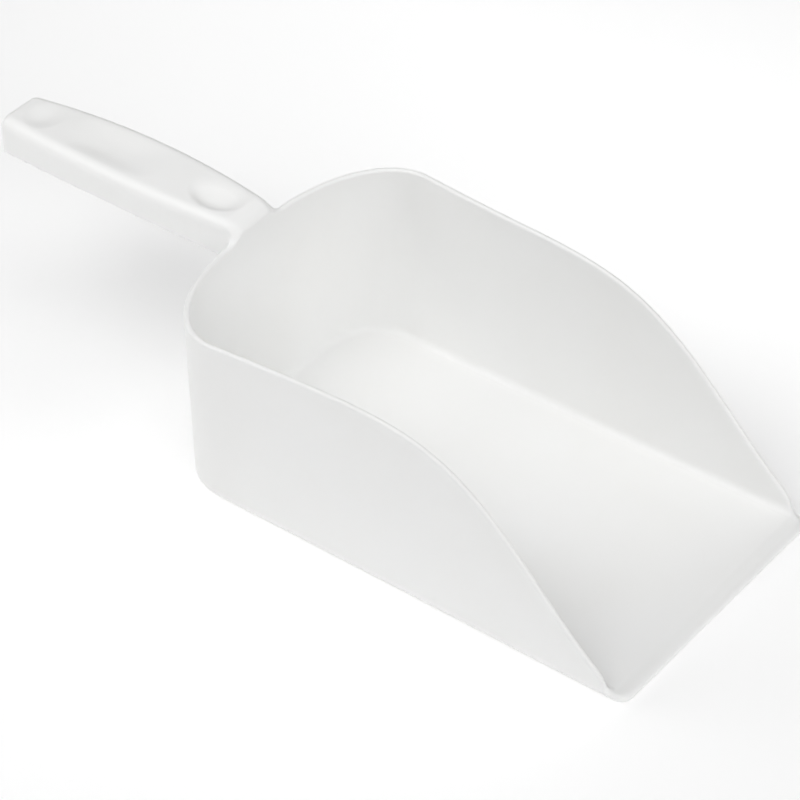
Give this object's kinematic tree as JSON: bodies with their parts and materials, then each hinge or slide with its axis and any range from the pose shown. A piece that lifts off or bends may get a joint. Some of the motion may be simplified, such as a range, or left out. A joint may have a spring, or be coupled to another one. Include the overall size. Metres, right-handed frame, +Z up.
{
  "type": "feed scoop",
  "caption": "One-piece moulded plastic feed scoop: deep open bowl with a D-shaped back, sides sweeping down to a flat lip, and a dished channel handle.",
  "frame": {"origin": "on the surface the bowl stands on, under the middle of the scoop's overall length and width", "axes": "+X from the handle towards the bowl's mouth, +Z up, XZ is the plane of symmetry"},
  "size_m": [0.34, 0.1348, 0.0894],
  "materials": {
    "moulded_plastic": "satin white polyethylene, faintly translucent"
  },
  "bodies": {
    "root": {"bowl": "moulded_plastic", "handle": "moulded_plastic", "handle_ribs": "moulded_plastic"}
  },
  "joints": []
}
